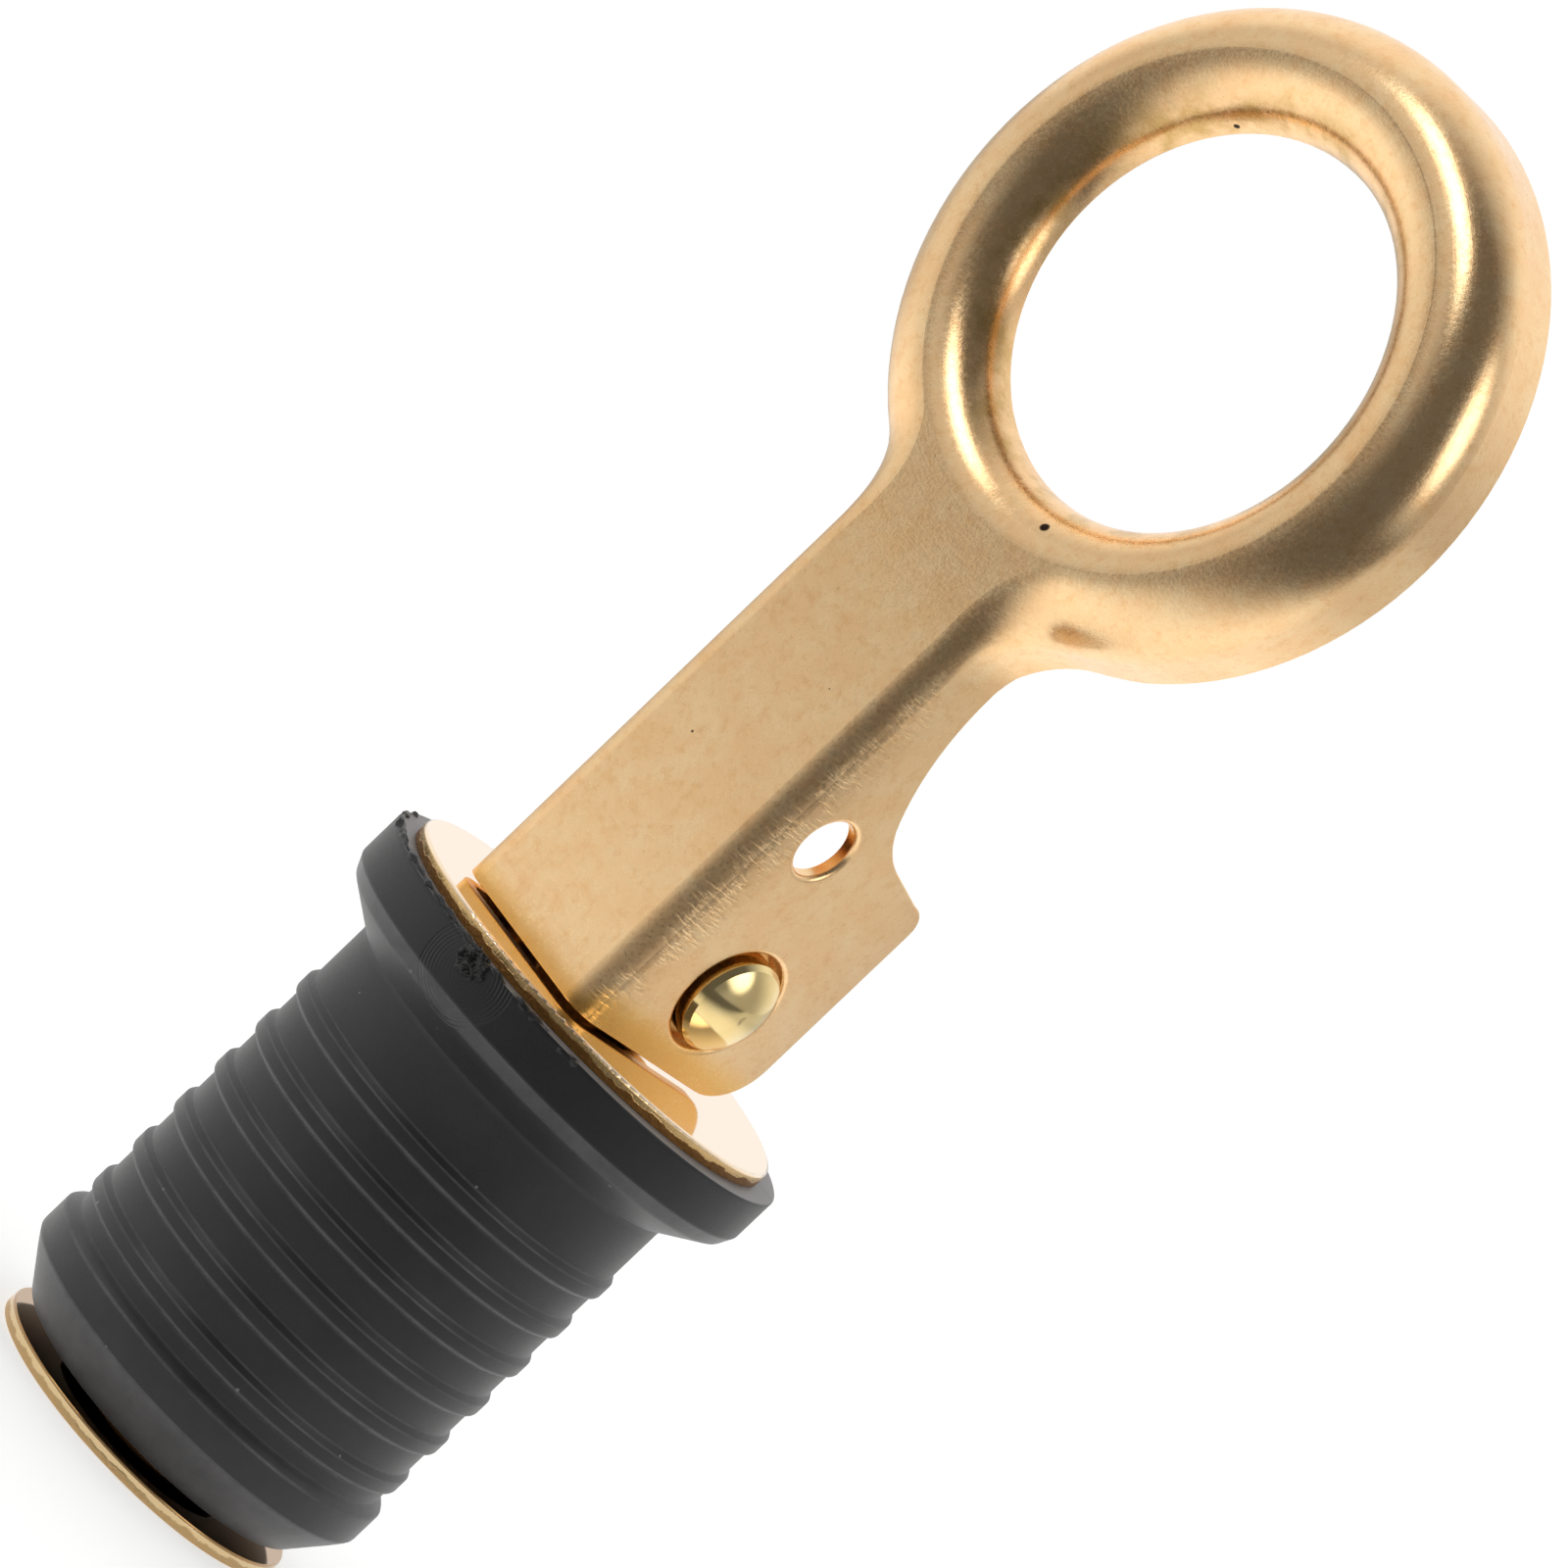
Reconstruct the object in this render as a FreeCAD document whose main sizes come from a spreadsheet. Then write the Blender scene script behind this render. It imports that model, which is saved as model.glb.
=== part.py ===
# Snap handle drain plug for a one inch drain tube. Millimetres, +Z up along the plug's axis.
# The origin is the centre of the underside of the lower disc, on which the plug stands.
# X runs along the cross pin. The web of the handle faces -Y and its cheeks open towards +Y.
import FreeCAD, Part
import math
import os
import Sketcher
from FreeCAD import Placement, Rotation, Vector

os.makedirs("parts", exist_ok=True)
doc = FreeCAD.newDocument("drain_plug")
sheet = doc.addObject("Spreadsheet::Sheet", "sizes")

sizes = {
    # rubber plug, with the heights measured down from its flat top
    "seat_depth": 5.75,
    "flange_radius": 15.4,
    "flange_band": 2.9,
    "flange_top_edge": 0.12,
    "flange_facet_drop": 0.9,
    "flange_facet_in": 0.45,
    "neck_radius": 12.15,
    "rib_rise": 0.32,
    "rib_first": 9.75,
    "rib_pitch": 3.3,
    "rib_flat": 0.85,
    "rib_ramp": 0.45,
    "rib_step": 0.2,
    "rib_count": 6,
    "lip_radius": 12.85,
    "lip_depth": 28.85,
    "lip_band": 2.1,
    "lip_ramp": 0.5,
    "tip_radius": 10.5,
    "rubber_length": 34.5,
    "recess_radius": 6.2,
    "recess_depth": 4.6,
    # brass sheet and discs
    "sheet_thick": 0.95,
    "disc_thick": 0.93,
    "disc_gap": 0.02,
    "top_disc_radius": 14.0,
    "top_disc_edge": 0.22,
    "low_disc_radius": 10.9,
    "low_disc_edge": 0.12,
    "low_disc_drop": 0.9,
    "collar_wall": 1.1,
    "collar_height": 3.2,
    # draw rod and cross pin
    "rod_radius": 3.9,
    "rod_gap": 0.3,
    "thread_gap": 0.06,
    "thread_chamfer": 0.6,
    "thread_short": 1.0,
    "pivot_height": 5.7,
    "eye_radius": 5.4,
    "eye_side_gap": 0.35,
    "eye_edge": 0.5,
    "pin_radius": 3.2,
    "pin_stand": 0.35,
    "pin_step": 0.35,
    "pin_taper": 0.25,
    "pin_dome": 0.96,
    "pin_play": 0.4,
    # handle, measured from the pivot
    "web_front": 9.3,
    "channel_half": 6.6,
    "bend_radius": 1.6,
    "cheek_reach": 7.55,
    "cheek_drop": 5.45,
    "cheek_round_low": 3.4,
    "cheek_round_top": 1.5,
    "cheek_top": 10.9,
    "shelf_reach": 2.4,
    "shelf_rise": 0.96,
    "notch_small": 6.0,
    "notch_turn": 42.0,
    "neck_back": 3.75,
    "neck_run": 2.0,
    "skirt_back": 2.45,
    "skirt_ease": 5.0,
    "ring_height": 45.8,
    "ring_radius": 19.75,
    "ring_band": 7.5,
    "ring_blend": 6.2,
    "crown_land": 0.1,
    "hole_lip_back": 5.65,
    "lanyard_radius": 2.0,
    "lanyard_back": 4.1,
    "lanyard_rise": 10.5,
    "burr_round": 0.1,
    "bore_roll": 0.35,
    "trim_spare": 2.0,
}

row = 1
for alias, number in sizes.items():
    sheet.set("A%d" % row, alias)
    sheet.set("B%d" % row, str(number))
    sheet.setAlias("B%d" % row, alias)
    row += 1
doc.recompute()


def size(alias):
    return float(sheet.get(alias))


def total(text):
    # Value of a sum such as "seat_depth - disc_gap".
    sign = 1.0
    result = 0.0
    for word in text.split():
        if word == "+":
            sign = 1.0
        elif word == "-":
            sign = -1.0
        else:
            result += sign * (size(word) if word in sizes else float(word))
            sign = 1.0
    return result


def linked(text):
    # The same sum as an expression that reads the sheet.
    words = ["sizes." + word if word in sizes else word for word in text.split()]
    return " ".join(words)


def origin_plane(body, role):
    for item in body.Origin.OriginFeatures:
        if item.Role == role:
            return item
    raise ValueError(role)


plug_top = "sizes.disc_thick + sizes.low_disc_drop + sizes.rubber_length"
pivot_level = plug_top + " + sizes.disc_gap + sizes.disc_thick + sizes.pivot_height"


def new_body(label):
    body = doc.addObject("PartDesign::Body", label)
    body.Label = label
    return body


def new_sketch(body, name, role):
    sketch = body.newObject("Sketcher::SketchObject", name)
    sketch.AttachmentSupport = [(origin_plane(body, role), "")]
    sketch.MapMode = "FlatFace"
    return sketch


def draw_outline(sketch, corners):
    # Closed polygon. Each corner is a pair of sums, held by two driven dimensions.
    spots = [Vector(total(across), total(along), 0) for across, along in corners]
    count = len(spots)
    for index in range(count):
        sketch.addGeometry(Part.LineSegment(spots[index], spots[(index + 1) % count]), False)
    for index in range(count):
        sketch.addConstraint(Sketcher.Constraint("Coincident", index, 2, (index + 1) % count, 1))
    for index, (across, along) in enumerate(corners):
        spot = spots[index]
        first = sketch.addConstraint(Sketcher.Constraint("DistanceX", -1, 1, index, 1, spot.x))
        second = sketch.addConstraint(Sketcher.Constraint("DistanceY", -1, 1, index, 1, spot.y))
        sketch.setExpression("Constraints[%d]" % first, linked(across))
        sketch.setExpression("Constraints[%d]" % second, linked(along))


def draw_circle(sketch, radius):
    sketch.addGeometry(Part.Circle(Vector(0, 0, 0), Vector(0, 0, 1), total(radius)), False)
    sketch.addConstraint(Sketcher.Constraint("Coincident", 0, 3, -1, 1))
    held = sketch.addConstraint(Sketcher.Constraint("Radius", 0, total(radius)))
    sketch.setExpression("Constraints[%d]" % held, linked(radius))


def turned(body, name, corners):
    sketch = new_sketch(body, name + "_outline", "XZ_Plane")
    draw_outline(sketch, corners)
    turn = body.newObject("PartDesign::Revolution", name)
    turn.Profile = sketch
    turn.ReferenceAxis = (sketch, ["V_Axis"])
    turn.Angle = 360.0
    doc.recompute()
    return turn


def place(thing, axis, text):
    thing.setExpression(".Placement.Base." + axis, text)


def edges_on(shape, test):
    return ["Edge%d" % (index + 1) for index, edge in enumerate(shape.Edges) if test(edge)]


# Rubber plug: flange with a crisp upper edge and a narrow facet under it, cone, straight neck, lower
# lip and tapered tip in one turned outline, with the bore for the rod and a wider recess for the
# collar of the lower disc. Its flat top is local zero.
plug = new_body("rubber_plug")
turned(plug, "plug_core", [
    ("rod_radius + rod_gap", "0"),
    ("flange_radius - flange_top_edge", "0"),
    ("flange_radius", "0 - flange_top_edge"),
    ("flange_radius", "0 - flange_band"),
    ("flange_radius - flange_facet_in", "0 - flange_band - flange_facet_drop"),
    ("neck_radius", "0 - seat_depth"),
    ("neck_radius", "0 - lip_depth"),
    ("lip_radius", "0 - lip_depth - lip_ramp"),
    ("lip_radius", "0 - lip_depth - lip_ramp - lip_band"),
    ("tip_radius", "0 - rubber_length"),
    ("recess_radius", "0 - rubber_length"),
    ("recess_radius", "recess_depth - rubber_length"),
    ("rod_radius + rod_gap", "recess_depth - rubber_length"),
])
rib = turned(plug, "rib", [
    ("neck_radius - rib_rise", "0 - rib_first"),
    ("neck_radius", "0 - rib_first"),
    ("neck_radius + rib_rise", "0 - rib_first - rib_ramp"),
    ("neck_radius + rib_rise", "0 - rib_first - rib_ramp - rib_flat"),
    ("neck_radius", "0 - rib_first - rib_ramp - rib_flat - rib_step"),
    ("neck_radius - rib_rise", "0 - rib_first - rib_ramp - rib_flat - rib_step"),
])
ribs = plug.newObject("PartDesign::LinearPattern", "ribs")
ribs.Originals = [rib]
ribs.Direction = (origin_plane(plug, "Z_Axis"), [""])
ribs.Reversed = True
ribs.Mode = "Spacing"
ribs.setExpression("Occurrences", "sizes.rib_count")
ribs.setExpression("Offset", "sizes.rib_pitch")
plug.Tip = ribs
place(plug, "z", plug_top)

# Upper disc, turned with a rolled upper edge, lying on the rubber.
upper = new_body("top_washer")
upper_disc = turned(upper, "upper_disc", [
    ("rod_radius + rod_gap", "0"),
    ("top_disc_radius", "0"),
    ("top_disc_radius", "disc_thick"),
    ("rod_radius + rod_gap", "disc_thick"),
])
upper_round = upper.newObject("PartDesign::Fillet", "upper_round")
upper_round.Base = (upper_disc, edges_on(upper_disc.Shape, lambda edge: (
    edge.BoundBox.ZMin > size("disc_thick") / 2 and edge.BoundBox.XMax > size("top_disc_radius") - 0.01)))
upper_round.setExpression("Radius", "sizes.top_disc_edge")
doc.recompute()
place(upper, "z", plug_top + " + sizes.disc_gap")

# Lower disc with its drawn collar, which takes the thread of the rod. Local zero is its upper face.
lower = new_body("bottom_washer")
lower_disc = turned(lower, "lower_disc", [
    ("rod_radius + thread_gap", "0 - disc_thick"),
    ("low_disc_radius", "0 - disc_thick"),
    ("low_disc_radius", "0"),
    ("rod_radius + collar_wall", "0"),
    ("rod_radius + collar_wall", "collar_height"),
    ("rod_radius + thread_gap", "collar_height"),
])
lower_round = lower.newObject("PartDesign::Fillet", "lower_round")
lower_round.Base = (lower_disc, edges_on(lower_disc.Shape, lambda edge: (
    edge.BoundBox.XMax > size("low_disc_radius") - 0.01 and edge.BoundBox.ZLength < 0.01)))
lower_round.setExpression("Radius", "sizes.low_disc_edge")
doc.recompute()
place(lower, "z", "sizes.disc_thick")

# Draw rod: round eye on the pivot, shank below it down into the thread of the lower disc.
rod = new_body("draw_rod")
eye_sketch = new_sketch(rod, "eye_outline", "YZ_Plane")
draw_circle(eye_sketch, "eye_radius")
eye = rod.newObject("PartDesign::Pad", "eye")
eye.Profile = eye_sketch
eye.Midplane = True
eye.setExpression("Length", "2 * (sizes.channel_half - sizes.sheet_thick - sizes.eye_side_gap)")
doc.recompute()
eye_round = rod.newObject("PartDesign::Chamfer", "eye_edges")
eye_round.Base = (eye, edges_on(eye.Shape, lambda edge: edge.BoundBox.XLength < 0.01))
eye_round.setExpression("Size", "sizes.eye_edge")
doc.recompute()
shank_end = ("thread_short - pivot_height - disc_thick - disc_gap - rubber_length - low_disc_drop"
             " - disc_thick")
turned(rod, "shank", [
    ("0", "0"),
    ("rod_radius", "0"),
    ("rod_radius", shank_end + " + thread_chamfer"),
    ("rod_radius - thread_chamfer", shank_end),
    ("0", shank_end),
])
hole_sketch = new_sketch(rod, "eye_hole_outline", "YZ_Plane")
draw_circle(hole_sketch, "pin_radius")
eye_hole = rod.newObject("PartDesign::Pocket", "eye_hole")
eye_hole.Profile = hole_sketch
eye_hole.Type = "ThroughAll"
eye_hole.Midplane = True
doc.recompute()
place(rod, "z", pivot_level)

# Cross pin: a cylinder that stands out of both cheeks, with a sloping shoulder and a shallow dome
# on each end.
pin_half = "(sizes.channel_half + sizes.pin_stand)"
shoulder_end = "(%s + sizes.pin_step)" % pin_half
cap_radius = "(sizes.pin_radius - sizes.pin_taper)"
dome = "((%s ^ 2 + sizes.pin_dome ^ 2) / (2 * sizes.pin_dome))" % cap_radius
core = doc.addObject("Part::Cylinder", "pin_core")
core.setExpression("Radius", "sizes.pin_radius")
core.setExpression("Height", "2 * " + pin_half)
place(core, "z", "-1 * " + pin_half)
pin_ends = []
for side_name, turn, way in (("far", 0.0, "1"), ("near", 180.0, "-1")):
    shoulder = doc.addObject("Part::Cone", "pin_shoulder_" + side_name)
    shoulder.Placement = Placement(Vector(0, 0, 0), Rotation(Vector(1, 0, 0), turn))
    shoulder.setExpression("Radius1", "sizes.pin_radius")
    shoulder.setExpression("Radius2", cap_radius)
    shoulder.setExpression("Height", "sizes.pin_step")
    place(shoulder, "z", "%s * %s" % (way, pin_half))
    cap = doc.addObject("Part::Sphere", "pin_cap_" + side_name)
    cap.Placement = Placement(Vector(0, 0, 0), Rotation(Vector(1, 0, 0), turn))
    cap.setExpression("Radius", dome)
    cap.setExpression("Angle1", "acos(%s / %s)" % (cap_radius, dome))
    place(cap, "z", "%s * (%s + sizes.pin_dome - %s)" % (way, shoulder_end, dome))
    pin_ends += [shoulder, cap]
pin = doc.addObject("Part::MultiFuse", "pivot_pin")
pin.Shapes = [core] + pin_ends
pin.Refine = True
pin.Label = "pivot_pin"
pin.Placement = Placement(Vector(0, 0, 0), Rotation(Vector(0, 1, 0), 90))
place(pin, "z", pivot_level)
doc.recompute()


# Handle: one drawn sheet. An outer and an inner solid of the same form, one sheet thickness apart,
# leave the sheet between them. Local zero is the pivot.
def drawn_blank(name, inset, tail):
    # Front outline of neck, blends, ring and ring hole, pushed back to the depth of the cheeks.
    half = size("channel_half") - inset
    blend = size("ring_blend") + inset
    outer = size("ring_radius") - inset
    hole = size("ring_radius") - size("ring_band") + inset
    front = inset - size("web_front")
    centre = size("ring_height")
    foot = -size("cheek_drop") - tail
    blend_across = half + blend
    blend_level = centre - math.sqrt((outer + blend) ** 2 - blend_across ** 2)
    touch = outer / (outer + blend)
    touch_across = blend_across * touch
    touch_level = centre + (blend_level - centre) * touch
    lean = math.atan2(centre - blend_level, blend_across)
    mid_across = blend_across - blend * math.cos(lean / 2)
    mid_level = blend_level + blend * math.sin(lean / 2)

    def spot(across, level):
        return Vector(across, front, level)

    wire = Part.Wire([
        Part.LineSegment(spot(-half, foot), spot(half, foot)).toShape(),
        Part.LineSegment(spot(half, foot), spot(half, blend_level)).toShape(),
        Part.Arc(spot(half, blend_level), spot(mid_across, mid_level),
                 spot(touch_across, touch_level)).toShape(),
        Part.Arc(spot(touch_across, touch_level), spot(0, centre + outer),
                 spot(-touch_across, touch_level)).toShape(),
        Part.Arc(spot(-touch_across, touch_level), spot(-mid_across, mid_level),
                 spot(-half, blend_level)).toShape(),
        Part.LineSegment(spot(-half, blend_level), spot(-half, foot)).toShape(),
    ])
    ring_hole = Part.Wire(Part.Circle(spot(0, centre), Vector(0, -1, 0), hole).toShape())
    face = Part.Face(wire).cut(Part.Face(ring_hole))
    reach = size("web_front") + size("cheek_reach") + tail
    blank = doc.addObject("Part::Feature", name)
    blank.Shape = face.extrude(Vector(0, reach, 0)).Solids[0]
    rounds = []
    for index, edge in enumerate(blank.Shape.Edges):
        box = edge.BoundBox
        if box.YLength > 0.01 or abs(box.YMin - front) > 0.01:
            continue
        if box.ZLength < 0.01:
            continue
        bend = size("bend_radius") - inset
        ring = size("ring_band") / 2 - inset
        rim = ring - size("crown_land")
        if isinstance(edge.Curve, Part.Line):
            rounds.append((index + 1, bend, bend))
        elif abs(edge.Curve.Radius - blend) < 0.01:
            low_first = edge.valueAt(edge.FirstParameter).z < edge.valueAt(edge.LastParameter).z
            rounds.append((index + 1, bend, ring) if low_first else (index + 1, ring, bend))
        elif abs(edge.Curve.Radius - hole) < 0.01:
            rounds.append((index + 1, rim, rim))
        else:
            rounds.append((index + 1, ring, ring))
    doc.recompute()
    rounded = doc.addObject("Part::Fillet", name + "_rounded")
    rounded.Base = blank
    rounded.Edges = rounds
    doc.recompute()
    return rounded


def side_outline():
    # Seen along the pin: cheek, sloping shelf, notch and the back edge of neck and skirt. The level
    # at which the skirt starts comes with the curves.
    reach = size("cheek_reach")
    drop = -size("cheek_drop")
    low = size("cheek_round_low")
    top = size("cheek_round_top")
    diagonal = math.sqrt(0.5)
    shelf_end = Vector(0, size("shelf_reach"), size("cheek_top") + size("shelf_rise"))
    corner = Vector(0, reach - top, size("cheek_top"))
    slope = (shelf_end - corner).normalize()
    normal = Vector(0, -slope.z, slope.y) * -1
    small = size("notch_small")
    small_centre = shelf_end + normal * small
    start = math.atan2(-normal.z, -normal.y)
    turn = math.radians(size("notch_turn"))

    def around(centre, radius, angle):
        return centre + Vector(0, math.cos(angle), math.sin(angle)) * radius

    joint = around(small_centre, small, start - turn)
    away = (small_centre - joint).normalize()
    large = (joint.y + size("neck_back")) / (1.0 - away.y)
    large_centre = joint + away * large
    notch_end = Vector(0, large_centre.y - large, large_centre.z)
    joint_angle = math.atan2(-away.z, -away.y)
    middle = around(large_centre, large, (joint_angle - math.pi) / 2)
    neck_end = Vector(0, notch_end.y, notch_end.z + size("neck_run"))
    skirt = Vector(0, -size("skirt_back"), neck_end.z + size("skirt_ease"))
    summit = size("ring_height") + size("ring_radius") + size("trim_spare")
    front = -size("web_front") - size("trim_spare")
    print("notch radius", round(large, 2), "neck ends at level", round(neck_end.z, 2))
    return neck_end.z, [
        Part.LineSegment(Vector(0, front, drop), Vector(0, reach - low, drop)),
        Part.Arc(Vector(0, reach - low, drop),
                 Vector(0, reach - low + low * diagonal, drop + low - low * diagonal),
                 Vector(0, reach, drop + low)),
        Part.LineSegment(Vector(0, reach, drop + low), Vector(0, reach, corner.z - top)),
        Part.Arc(Vector(0, reach, corner.z - top),
                 Vector(0, reach - top + top * diagonal, corner.z - top + top * diagonal), corner),
        Part.LineSegment(corner, shelf_end),
        Part.Arc(shelf_end, around(small_centre, small, start - turn / 2), joint),
        Part.Arc(joint, middle, notch_end),
        Part.LineSegment(notch_end, neck_end),
        Part.LineSegment(neck_end, skirt),
        Part.LineSegment(skirt, Vector(0, skirt.y, summit)),
        Part.LineSegment(Vector(0, skirt.y, summit), Vector(0, front, summit)),
        Part.LineSegment(Vector(0, front, summit), Vector(0, front, drop)),
    ]


sheet_thick = size("sheet_thick")
outer_form = drawn_blank("drawn_outer", 0.0, size("trim_spare"))
inner_form = drawn_blank("drawn_inner", sheet_thick, 3 * size("trim_spare"))
drawn = doc.addObject("Part::Cut", "drawn_sheet")
drawn.Base = outer_form
drawn.Tool = inner_form
side = doc.addObject("Part::Feature", "side_trim")
skirt_level, side_curves = side_outline()
side_face = Part.Face(Part.Wire([curve.toShape() for curve in side_curves]))
side_width = size("ring_radius") + size("trim_spare")
side_face.translate(Vector(-side_width, 0, 0))
side.Shape = side_face.extrude(Vector(2 * side_width, 0, 0))
trimmed = doc.addObject("Part::Common", "trimmed_sheet")
trimmed.Base = drawn
trimmed.Tool = side
bores = []
for name, radius, back, rise in (
        ("pivot_bore", "sizes.pin_radius + sizes.pin_play", "0", "0"),
        ("lanyard_bore", "sizes.lanyard_radius", "-1 * sizes.lanyard_back", "sizes.lanyard_rise")):
    bore = doc.addObject("Part::Cylinder", name)
    bore.Placement = Placement(Vector(0, 0, 0), Rotation(Vector(0, 1, 0), 90))
    bore.setExpression("Radius", radius)
    bore.setExpression("Height", "4 * sizes.channel_half")
    place(bore, "x", "-2 * sizes.channel_half")
    place(bore, "y", back)
    place(bore, "z", rise)
    bores.append(bore)
lip_trim = doc.addObject("Part::Cylinder", "lip_trim")
lip_trim.Placement = Placement(Vector(0, 0, 0), Rotation(Vector(1, 0, 0), -90))
lip_trim.setExpression("Radius", "sizes.ring_radius - sizes.ring_band + 1.5 * sizes.sheet_thick")
lip_trim.setExpression("Height", "4 * sizes.web_front")
place(lip_trim, "y", "-1 * sizes.hole_lip_back")
place(lip_trim, "z", "sizes.ring_height")
cutters = doc.addObject("Part::MultiFuse", "handle_cutters")
cutters.Shapes = bores + [lip_trim]
pierced = doc.addObject("Part::Cut", "pierced_sheet")
pierced.Base = trimmed
pierced.Tool = cutters
doc.recompute()


def sharp_edges(shape):
    # Numbers and rounding of the sheared edges, where two faces meet at more than 30 degrees. A bore
    # is rolled over where the punch went in. The trimmed skirt behind the ring keeps its sharp edge.
    found = []
    for index, edge in enumerate(shape.Edges):
        faces = shape.ancestorsOfType(edge, Part.Face)
        box = edge.BoundBox
        on_skirt = box.YMax > 0.01 - size("neck_back") and box.ZMax > skirt_level + 0.01
        if len(faces) < 2 or on_skirt:
            continue
        spot = edge.valueAt((edge.FirstParameter + edge.LastParameter) / 2)
        normals = [face.normalAt(*face.Surface.parameter(spot)) for face in faces[:2]]
        if normals[0].getAngle(normals[1]) > math.radians(30):
            is_mouth = edge.isClosed() and abs(abs(box.Center.x) - size("channel_half")) < 0.01
            rounding = size("bore_roll") if is_mouth else size("burr_round")
            found.append((index + 1, rounding, rounding))
    return found


# The tumbled sheet has its sheared edges slightly rounded.
handle = doc.addObject("Part::Fillet", "handle")
handle.Base = pierced
handle.Edges = sharp_edges(pierced.Shape)
handle.Label = "handle"
place(handle, "z", pivot_level)
doc.recompute()

pieces = [plug, upper, lower, rod, pin, handle]
for item in doc.Objects:
    if "Invalid" in item.State or "Error" in item.State:
        raise RuntimeError("%s failed: %s" % (item.Name, item.State))
for piece in pieces:
    shape = piece.Shape
    if shape.isNull() or not shape.isValid() or len(shape.Solids) != 1:
        raise RuntimeError("%s has no sound solid: %d" % (piece.Label, len(shape.Solids)))
for piece in pieces:
    box = piece.Shape.BoundBox
    print(piece.Label, "volume", round(piece.Shape.Volume, 2),
          "x", round(box.XMin, 2), round(box.XMax, 2), "y", round(box.YMin, 2), round(box.YMax, 2),
          "z", round(box.ZMin, 2), round(box.ZMax, 2))
    piece.Shape.exportStep("parts/%s.step" % piece.Label)
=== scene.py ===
import math

import bpy
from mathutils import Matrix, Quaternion, Vector


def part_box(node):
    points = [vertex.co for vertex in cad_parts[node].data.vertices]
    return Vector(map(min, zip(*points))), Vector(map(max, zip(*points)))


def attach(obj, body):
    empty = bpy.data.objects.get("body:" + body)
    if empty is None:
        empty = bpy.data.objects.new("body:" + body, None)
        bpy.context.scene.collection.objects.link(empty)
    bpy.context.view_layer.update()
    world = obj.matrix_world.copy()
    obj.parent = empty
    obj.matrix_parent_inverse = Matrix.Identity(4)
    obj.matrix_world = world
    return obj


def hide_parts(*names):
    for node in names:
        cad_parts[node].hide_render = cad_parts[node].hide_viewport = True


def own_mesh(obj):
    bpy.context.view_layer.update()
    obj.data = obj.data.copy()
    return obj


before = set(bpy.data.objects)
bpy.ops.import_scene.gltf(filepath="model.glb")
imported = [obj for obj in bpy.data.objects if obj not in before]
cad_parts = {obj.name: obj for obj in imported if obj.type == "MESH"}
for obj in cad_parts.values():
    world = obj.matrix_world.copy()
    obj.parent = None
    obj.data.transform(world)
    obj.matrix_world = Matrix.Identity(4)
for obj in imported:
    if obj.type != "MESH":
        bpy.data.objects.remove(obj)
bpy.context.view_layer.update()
mm = 0.001
scene = bpy.context.scene

# levels read off the CAD nodes, in mm above the floor
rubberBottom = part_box("rubber_plug")[0].z / mm
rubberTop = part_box("rubber_plug")[1].z / mm
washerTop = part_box("top_washer")[1].z / mm
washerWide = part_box("top_washer")[1].x / mm
discTop = 0.93  # the face of the lower disc, below its collar
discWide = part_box("bottom_washer")[1].x / mm
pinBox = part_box("pivot_pin")
pivotLevel = (pinBox[0].z + pinBox[1].z) / 2 / mm
ringRise = 45.8  # from the cross pin to the middle of the pull ring
ringLevel = pivotLevel + ringRise


def linearColour(hexCode):
    parts = [int(hexCode[spot:spot + 2], 16) / 255 for spot in (1, 3, 5)]
    return [part / 12.92 if part <= 0.04045 else ((part + 0.055) / 1.055) ** 2.4 for part in parts] + [1.0]


def addNode(tree, kind, settings=None, inputs=None):
    node = tree.nodes.new(kind)
    for name, value in (settings or {}).items():
        setattr(node, name, value)
    for socket, value in (inputs or {}).items():
        if isinstance(value, bpy.types.NodeSocket):
            tree.links.new(value, node.inputs[socket])
        else:
            node.inputs[socket].default_value = value
    return node


def startMaterial(name):
    material = bpy.data.materials.new(name)
    material.use_nodes = True
    tree = material.node_tree
    tree.nodes.clear()
    coordinates = addNode(tree, "ShaderNodeTexCoord")
    inMm = addNode(tree, "ShaderNodeVectorMath", {"operation": "SCALE"},
                   {0: coordinates.outputs["Object"], "Scale": 1 / mm})
    return material, tree, inMm.outputs[0]


def dress(piece, material):
    piece.data.materials.clear()
    piece.data.materials.append(material)


def pickNothing():
    if bpy.context.mode != "OBJECT":
        bpy.ops.object.mode_set(mode="OBJECT")
    bpy.ops.object.select_all(action="DESELECT")


def nameNew(name):
    piece = bpy.context.active_object
    piece.name = name
    piece.data.name = name
    return piece


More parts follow.
